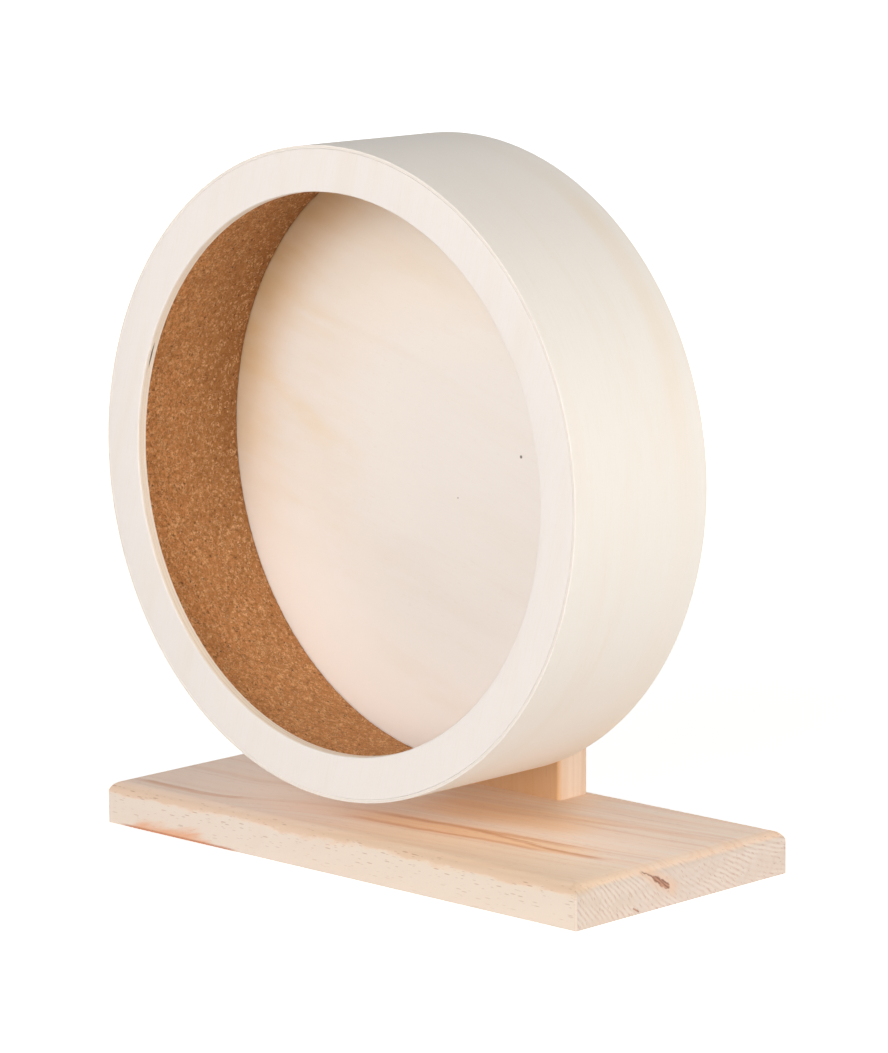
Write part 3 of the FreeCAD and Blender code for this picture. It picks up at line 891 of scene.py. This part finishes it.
def lay_end_rings(finish, end_grain, at_end):
    """Lays bent growth rings, patchy and dotted, over the right end."""
    y, z = finish.y, finish.z
    bend = finish.noise(finish.stretched(0.0, (y, 16), (z, 7)), 3.0)
    wave = ((end_grain.radius + bend * 3.0) * (2 * math.pi / ring_pitch)).math("SINE")
    patch = finish.noise(finish.stretched(0.0, (y, 20), (z, 9))).step(0.42, 0.6)
    early = wave.step(-0.7, 0.7) * patch.step(0.0, 1.0, 0.05, 0.36)
    finish.lay(at_end * early, early_wood_tone)
    dotted = finish.noise(finish.stretched((end_grain.radius, 1.2), (end_grain.arc, 2.5), 0.0))
    late = wave.fall(-0.9, -0.2) * patch.step(0.0, 1.0, 0.3, 0.6) * dotted.step(0.42, 0.66)
    finish.lay(at_end * late, late_wood_tone)
    near_corner = y.fall(board_front + 6.0, board_front + 14.0) * z.step(board_top - 5.0, board_top - 3.0)
    finish.lay(at_end * near_corner * 0.4, near_corner_tone)


def lay_resin_pocket(finish, at_end):
    """Lays a ragged, bark-coloured pocket with a tan halo and a smaller spot over the right end."""
    y, z = finish.y, finish.z
    along, across = finish.along_line(y, z, *pocket_middle, pocket_slope)
    finish.lay(at_end * along.within(-12.0, 8.0, 6.0) * across.within(-0.5, 1.5, 4.0) * 0.5, halo_tone)
    torn = finish.noise(finish.stretched(0.0, (y, 2.2), (z, 2.2)), 3.0)
    bark = finish.noise(finish.stretched(0.0, (along, 5), (across, 0.7)), 3.0)
    half_width = along.within(-3.0, 4.0, 4.0) + 0.35
    inside = (abs(across + torn.swung(2.4)) - half_width).fall(-0.35, 0.3, 0.95)
    spot_along, spot_across = finish.along_line(y, z, *spot_start, pocket_slope)
    spot = spot_along.within(0.5, 4.0, 0.8) * spot_across.near(0.0, 0.7)
    dark = (inside * along.within(-13.5, 6.0, 1.0)).greatest(spot)
    finish.tone = finish.blend(at_end * dark, finish.tone, finish.ramp(bark, *bark_tones))


def board_pores(finish, end_grain, at_end):
    """Share of open pores: dashes along the board, most on its upper front, and dots at the right end."""
    x, y, z = finish.x, finish.y, finish.z
    dashes = pores(finish, 0.15, (x, 9), (y, 3), (z, 1.2))
    dashes = dashes.greatest(pores(finish, 0.3, (x, 5), (y, 3), (z, 0.8)) * 0.7)
    zone = finish.noise(finish.stretched((x, 40), 0.0, (z, 5))).step(0.32, 0.46)
    on_top = z.step(board_top - 2.5, board_top - 0.3, 0.5, 0.1)
    dashes = dashes * zone * on_top * z.step(2.0, 10.0, 0.35, 1.0)
    dots = pores(finish, 0.35, 0.0, (end_grain.radius, 1.5), (end_grain.arc, 2.2))
    return dashes * (at_end * -1.0 + 1.0) + dots * at_end * 0.55


def lay_resin_edge(finish):
    """Lays leaning flames of resin over the lower left of the front, darkest along its bottom edge."""
    x, z = finish.x, finish.z
    drip = finish.noise(finish.stretched((x + z * -3.0, 16), (z, 9), 4.0), 4.0, 0.6)
    over = z - (x.within(-118.0, -84.0, 14.0) * 4.6 + drip.swung(12.0))
    by_front = finish.y.fall(board_front + 1.5, board_front + 5.0)
    finish.lay(over.fall(-4.0, 2.0, 0.7) * x.within(-124.0, -66.0, 12.0) * by_front, resin_tone)
    finish.lay(z.fall(0.5, 1.3, 0.7) * x.within(-128.0, -64.0, 8.0) * by_front, resin_edge_tone)


def board_finish():
    """Base board: pine whose heart line swings back along the board, just above its top face.

    One dark ring runs the length of the top as a streak that forks at the right, and shows at the right
    end as a ragged resin pocket; a tan zone lies outside it, and resin stains the lower front edge.
    """
    finish = Finish("board_pine", pine_roughness)
    x, y, z = finish.x, finish.y, finish.z
    swing = x.step(-100.0, -10.0, heart_left, heart_right) + (x + 10.0).greatest(0.0) * heart_slope
    sway = finish.noise(finish.stretched((x, 45), 2.3, 0.0))
    off = y - (swing + sway.swung(5.0))
    grain = Grain(finish, x, off, z - heart_height)
    height = pine(finish, grain, *board_tones)
    lay_top(finish, grain, off)
    past_corner = y.step(board_front + 0.3, board_front + 1.0)
    at_end = past_corner * x.step(board_right - 2.4, board_right - 0.8)
    lay_outer_faces(finish, past_corner)
    end_grain = Grain(finish, x, y - end_heart[0], z - end_heart[1])
    lay_end_rings(finish, end_grain, at_end)
    lay_resin_pocket(finish, at_end)
    open_pores = board_pores(finish, end_grain, at_end)
    finish.lay(open_pores, pore_tone)
    # Painted shade on the front right upright edge, damping the highlight of its rounding
    corner = x.step(board_right - 1.4, board_right - 0.4) * y.fall(board_front + 0.4, board_front + 1.4)
    finish.lay(corner * 0.5, corner_shade_tone)
    lay_resin_edge(finish)
    return finish.done(height - open_pores, pine_relief)


post_heart = (80.0, 20.0)
post_tones = ((236, 210, 186), (226, 192, 160), (200, 150, 112))
post_front_shade_tone = (228, 176, 120)


def post_finish():
    """Post: the same pine, sawn further from its heart, with its grain upright and its front made more tan as
    painted warm shade.
    """
    finish = Finish("post_pine", pine_roughness)
    x, y, z = finish.x, finish.y, finish.z
    sway = finish.noise(finish.stretched((z, 70), 6.1, 0.0))
    grain = Grain(finish, z, x - post_heart[0] + sway * 6.0, y - post_heart[1])
    height = pine(finish, grain, *post_tones)
    # Painted warm shade on the front, which faces the back of the drum
    finish.lay(y.fall(post_low.y / mm + 0.5, post_low.y / mm + 2.5, 0.7), post_front_shade_tone)
    finish.lay(pores(finish, 0.6, (x, 3), (y, 3), (z, 15)) * 0.12, pore_tone)
    return finish.done(height, pine_relief)


# Beech
hub_grain_angle = 35
hub_tones = ((0.3, (233, 203, 166)), (0.55, (222, 187, 147)), (0.8, (196, 155, 115)))
hub_fleck_tone = (150, 108, 74)
tool_pitch = 0.8


def hub_finish():
    """Turned hardwood: tight straight grain, short dark flecks and faint tool rings."""
    finish = Finish("hub_beech", 0.5)
    along, across = finish.turned(hub_grain_angle)
    grain = finish.noise(finish.stretched((along, 40), (across, 2.2), (finish.y, 6)), 3.0, 0.6, 0.3)
    fleck_place = finish.stretched((along, 2.4), (across, 0.8), (finish.y, 0.8))
    fleck = finish.spots(fleck_place, (0.16, 0.3), (0.55, 0.65))
    finish.tone = finish.ramp(grain, *hub_tones)
    finish.lay(fleck * 0.5, hub_fleck_tone)
    tool = (finish.from_axle() * (2 * math.pi / tool_pitch)).math("SINE")
    return finish.done(tool * 0.25 + fleck * -0.6, 0.04)


# Metal and plastic
zinc_tones = ((0.3, (190, 198, 208)), (0.5, (208, 211, 214)), (0.7, (214, 210, 198)))
bearing_tones = ((0.3, (196, 198, 202)), (0.7, (222, 223, 226)))
nylon_tones = ((0.3, (218, 226, 232)), (0.7, (236, 240, 242)))


def zinc_finish():
    """Bright zinc plating: cloudy silver with faint warm and blue tints, fine scratches in its gloss."""
    finish = Finish("zinc_plating", 0.34, 1.0)
    cloud = finish.noise(finish.place, 3.0, size=2.5)
    finish.tone = finish.ramp(cloud, *zinc_tones)
    scratch = finish.noise(finish.stretched((finish.x, 1 / 3), (finish.y, 1 / 0.6), (finish.z, 1 / 3)))
    finish.roughness(scratch.step(0.3, 0.8, 0.24, 0.48))
    return finish.done(cloud, 0.01)


def bearing_finish():
    """Ground and polished bearing steel with fine turning lines round the axle."""
    finish = Finish("bearing_steel", 0.16, 1.0)
    lines = finish.noise(finish.stretched((finish.from_axle(), 1 / 9), (finish.y, 1 / 4), 0.0), 1.0)
    finish.tone = finish.ramp(lines, *bearing_tones)
    finish.roughness(lines.step(0.3, 0.7, 0.12, 0.26))
    return finish.done(lines, 0.006)


def nylon_finish():
    """Off-white nylon with a faint flow pattern."""
    finish = Finish("nylon", 0.42)
    flow = finish.noise(finish.place, 2.0, 0.5, 0.8, 1.25)
    finish.tone = finish.ramp(flow, *nylon_tones)
    finish.roughness(flow.step(0.3, 0.7, 0.36, 0.5))
    return finish.done(flow, 0.02)


def dress(finish, *pieces):
    """Gives pieces, or nodes by name, one material for all of their faces."""
    for piece in pieces:
        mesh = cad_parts[piece].data if isinstance(piece, str) else piece.data
        mesh.materials.clear()
        mesh.materials.append(finish.material)


# Studio
plain_white = (1.0, 1.0, 1.0, 1.0)


def white_to_eye(tree):
    """Socket that is 1 for rays from the camera, straight, mirrored or refracted, and 0 for the rest."""
    path = tree.nodes.new("ShaderNodeLightPath").outputs
    seen_directly = path["Is Camera Ray"]
    for kind in ("Is Glossy Ray", "Is Transmission Ray"):
        either = tree.nodes.new("ShaderNodeMath")
        either.operation = "MAXIMUM"
        tree.links.new(seen_directly, either.inputs[0])
        tree.links.new(path[kind], either.inputs[1])
        seen_directly = either.outputs[0]
    return seen_directly


floor_half = 9.0
floor_drop = 0.2 * mm
floor_lift_near = 0.66
floor_lift_far = 0.98
floor_near, floor_far = 300.0, 1700.0
floor_white = 0.9


def studio_floor():
    """Flat pale square under the board. To the eye it is lifted to white, more so far away; shadows stay."""
    side = np.array([-floor_half, floor_half])
    x, y = np.meshgrid(side, side, indexing="ij")
    floor = surface("studio_floor", np.stack([x, y, 0 * x + board_low.z - floor_drop], axis=-1))
    paint = Finish("studio_floor", 0.9)
    inputs = paint.shader.inputs
    paint.feed(inputs["Base Color"], (floor_white, floor_white, floor_white, 1.0))
    lift = paint.length(paint.place).step(floor_near, floor_far, floor_lift_near, floor_lift_far)
    paint.feed(inputs["Emission Color"], plain_white)
    paint.feed(inputs["Emission Strength"], lift * white_to_eye(paint.tree))
    paint.feed(inputs["Specular IOR Level"], 0.0)
    dress(paint, floor)


horizon_strength = 0.27
zenith_strength = 0.14
all_round_tint = (1.0, 0.955, 0.9, 1.0)
zenith_height = 0.8


def studio_world():
    """Soft light from all round, brighter near the horizon; seen directly it is plain white."""
    world = bpy.data.worlds.new("studio")
    bpy.context.scene.world = world
    world.use_nodes = True
    tree = world.node_tree
    tree.nodes.clear()
    kinds = ("TexCoord", "SeparateXYZ", "MapRange", "Background", "Background", "MixShader", "OutputWorld")
    nodes = [tree.nodes.new("ShaderNode" + kind) for kind in kinds]
    direction, height, fade, light, white, mix, output = nodes
    fade.inputs["From Max"].default_value = zenith_height
    fade.inputs["To Min"].default_value = horizon_strength
    fade.inputs["To Max"].default_value = zenith_strength
    light.inputs["Color"].default_value = all_round_tint
    white.inputs["Color"].default_value = plain_white
    links = (
        (direction.outputs["Generated"], height.inputs[0]),
        (height.outputs["Z"], fade.inputs["Value"]),
        (fade.outputs[0], light.inputs["Strength"]),
        (white_to_eye(tree), mix.inputs[0]),
        (light.outputs[0], mix.inputs[1]),
        (white.outputs[0], mix.inputs[2]),
        (mix.outputs[0], output.inputs["Surface"]),
    )
    for source, socket in links:
        tree.links.new(source, socket)


def softbox(name, azimuth, elevation, level, size=2.2, distance=4.0):
    """Square lamp that looks at the wheel; level is what it adds to a white face turned to it."""
    back = facing(azimuth, elevation)
    lamp = bpy.data.lights.new(name, "AREA")
    lamp.shape = "SQUARE"
    lamp.size = size
    lamp.energy = level * (math.pi * distance) ** 2
    stand(name, lamp, np.array([0.0, 0.0, axle_height]) + back * distance, back)


place_camera()
studio_floor()
studio_world()
lamps = (
    ("low_front_softbox", 16, 6, 0.41),
    ("front_softbox", 18, 18, 0.28),
    ("upper_softbox", 0, 30, 0.09),
    ("right_softbox", 76, 8, 0.27),
    ("far_right_softbox", 108, 8, 0.42),
    ("rear_left_softbox", 200, 10, 0.25),
    ("left_fill_softbox", -98, 12, 0.1),
)
for lamp in lamps:
    softbox(*lamp)

zinc = zinc_finish()
dress(ring_finish(), make_front_ring())
dress(band_finish(), make_drum_band())
dress(cork_finish(), make_cork_lining())
dress(zinc, make_axle_bolt(), "hub_screws", "post_screws", "head_shim", "spacer_sleeve")
dress(zinc, "post_front_washer", "post_rear_washer", "lock_nut")
dress(disc_finish(), "rear_disc")
dress(board_finish(), "base_board")
dress(post_finish(), "post")
dress(hub_finish(), "hub_block")
dress(nylon_finish(), "lock_nut_insert")
dress(bearing_finish(), *(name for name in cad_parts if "_bearing_" in name))

bpy.context.scene.view_settings.view_transform = "Standard"
